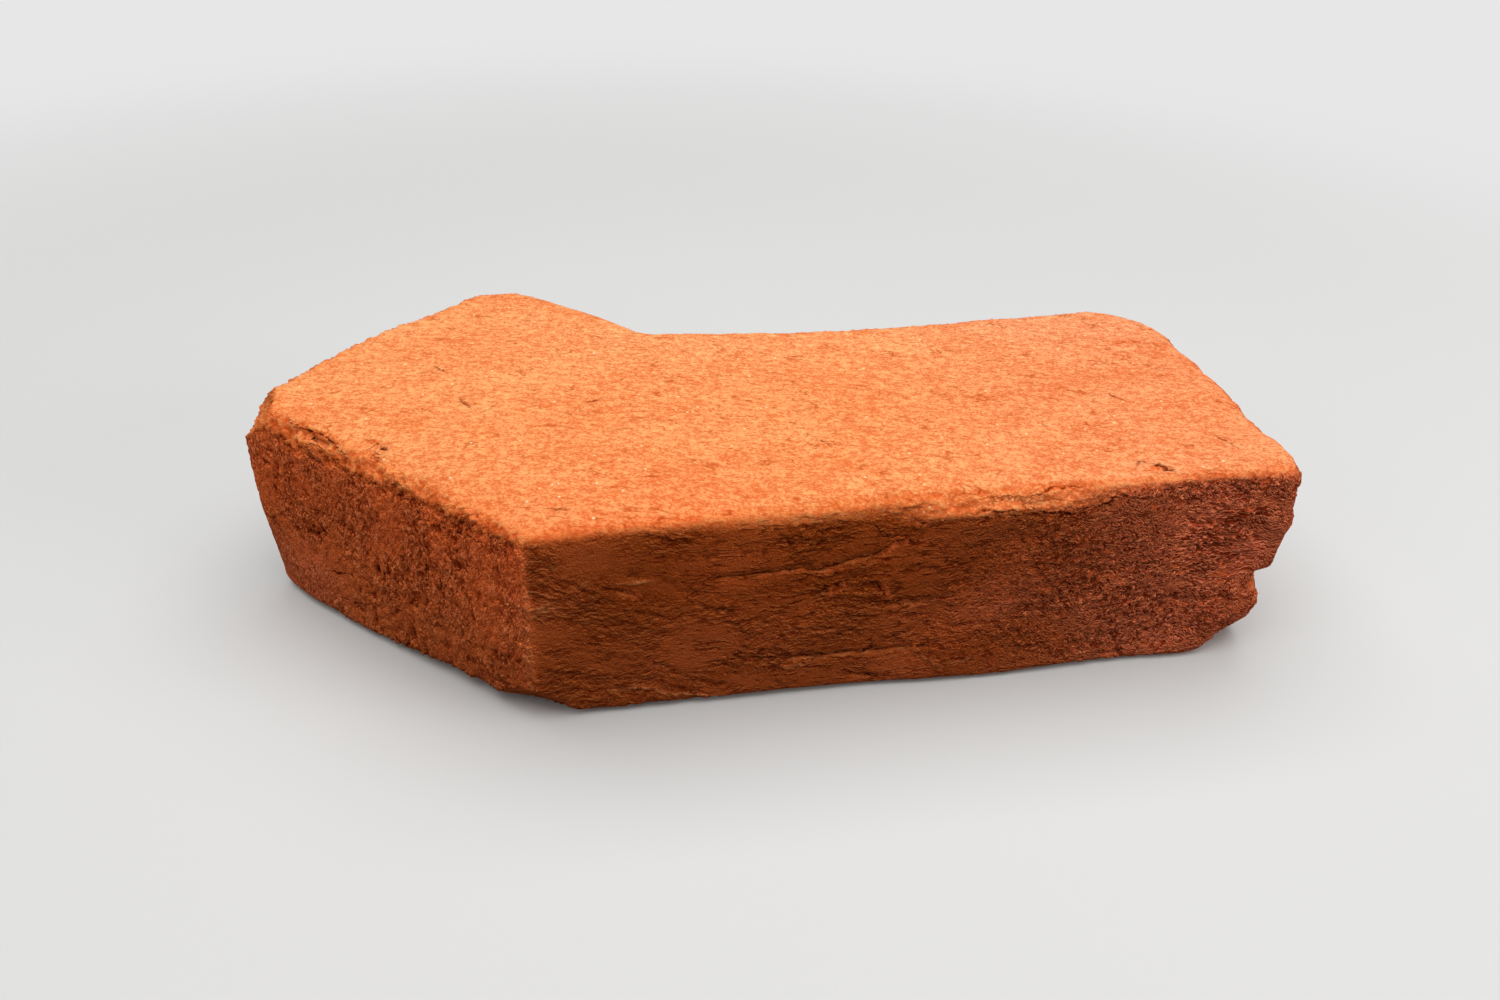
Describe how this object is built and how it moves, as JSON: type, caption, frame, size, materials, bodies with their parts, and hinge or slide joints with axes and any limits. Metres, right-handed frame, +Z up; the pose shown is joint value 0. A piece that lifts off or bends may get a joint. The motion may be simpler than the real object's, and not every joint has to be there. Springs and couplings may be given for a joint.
{
  "type": "angle brick (dogleg clay brick)",
  "caption": "Solid clay brick, bent in plan: a long stretcher leg and a short header leg meet at an obtuse angle. Turns a wall's corner without a cut or a straight joint.",
  "frame": {"origin": "on the lower bed, where the centre lines of the two legs meet", "axes": "+X along the centre line of the long leg, away from the bend; +Z up, from the lower bed to the upper bed; +Y towards the inside of the bend"},
  "size_m": [0.2871, 0.1424, 0.064],
  "materials": {
    "fired_clay": "unglazed orange-red clay, grainy and sanded, with moulding creases on the faces"
  },
  "bodies": {
    "root": {"brick": "fired_clay"}
  },
  "joints": []
}
